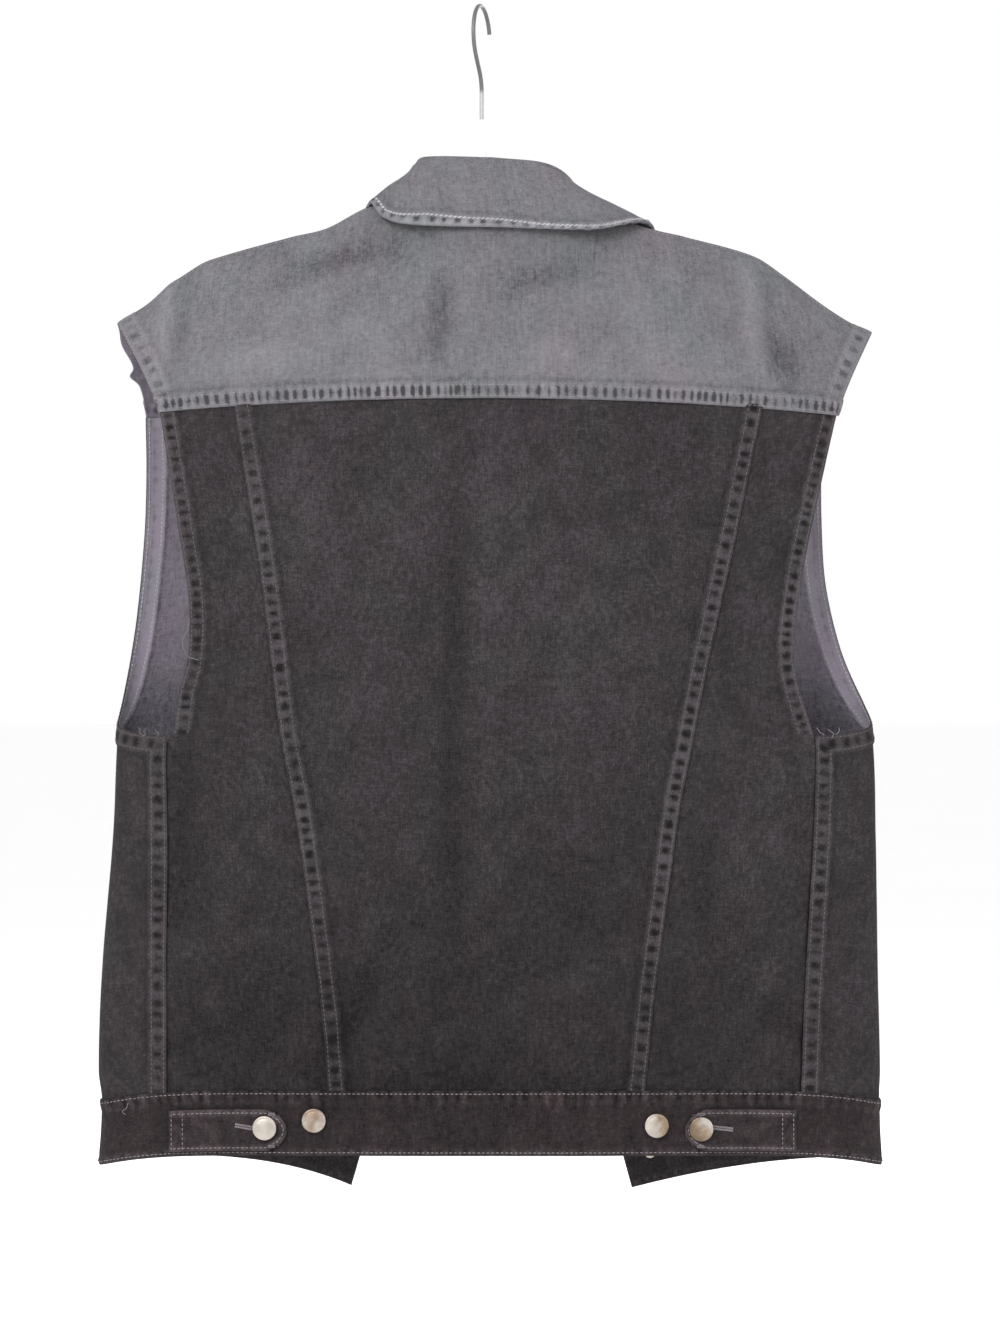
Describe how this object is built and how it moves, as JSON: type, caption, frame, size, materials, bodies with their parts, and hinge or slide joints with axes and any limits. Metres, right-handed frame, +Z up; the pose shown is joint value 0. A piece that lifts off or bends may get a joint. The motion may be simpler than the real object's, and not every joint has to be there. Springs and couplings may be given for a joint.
{
  "type": "denim vest on a hanger",
  "caption": "Sleeveless denim vest with a shirt collar, yokes, waist tabs and metal buttons, open down the front and hanging flat on a plastic hanger.",
  "frame": {"origin": "underside of the crown of the hanger's hook, where a rail carries it", "axes": "+Z up, +Y out of the back of the garment, +X to the wearer's left"},
  "size_m": [0.5596, 0.0957, 0.8547],
  "materials": {
    "dark_denim": "matt",
    "pale_denim": "matt",
    "button_metal": "worn satin",
    "hook_wire": "polished",
    "hanger_plastic": "smooth"
  },
  "bodies": {
    "root": {"back_centre_panel": "dark_denim", "back_side_panel_left": "dark_denim", "front_panel_left": "dark_denim", "placket_left": "dark_denim", "tab_left": "dark_denim", "front_yoke_left": "pale_denim", "tab_left_button": "button_metal", "tab_left_tack": "button_metal", "band_left_button": "button_metal", "band_left_tack": "button_metal", "back_side_panel_right": "dark_denim", "front_panel_right": "dark_denim", "placket_right": "dark_denim", "tab_right": "dark_denim", "front_yoke_right": "pale_denim", "tab_right_button": "button_metal", "tab_right_tack": "button_metal", "band_right_button": "button_metal", "band_right_tack": "button_metal", "waistband": "dark_denim", "back_yoke": "pale_denim", "collar": "pale_denim", "front_1_button": "button_metal", "front_1_tack": "button_metal", "front_2_button": "button_metal", "front_2_tack": "button_metal", "front_3_button": "button_metal", "front_3_tack": "button_metal", "front_4_button": "button_metal", "front_4_tack": "button_metal", "front_5_button": "button_metal", "front_5_tack": "button_metal", "front_band_button": "button_metal", "front_band_tack": "button_metal", "hanger_arms": "hanger_plastic", "hanger_neck": "hanger_plastic", "hanger_hook": "hook_wire"}
  },
  "joints": []
}
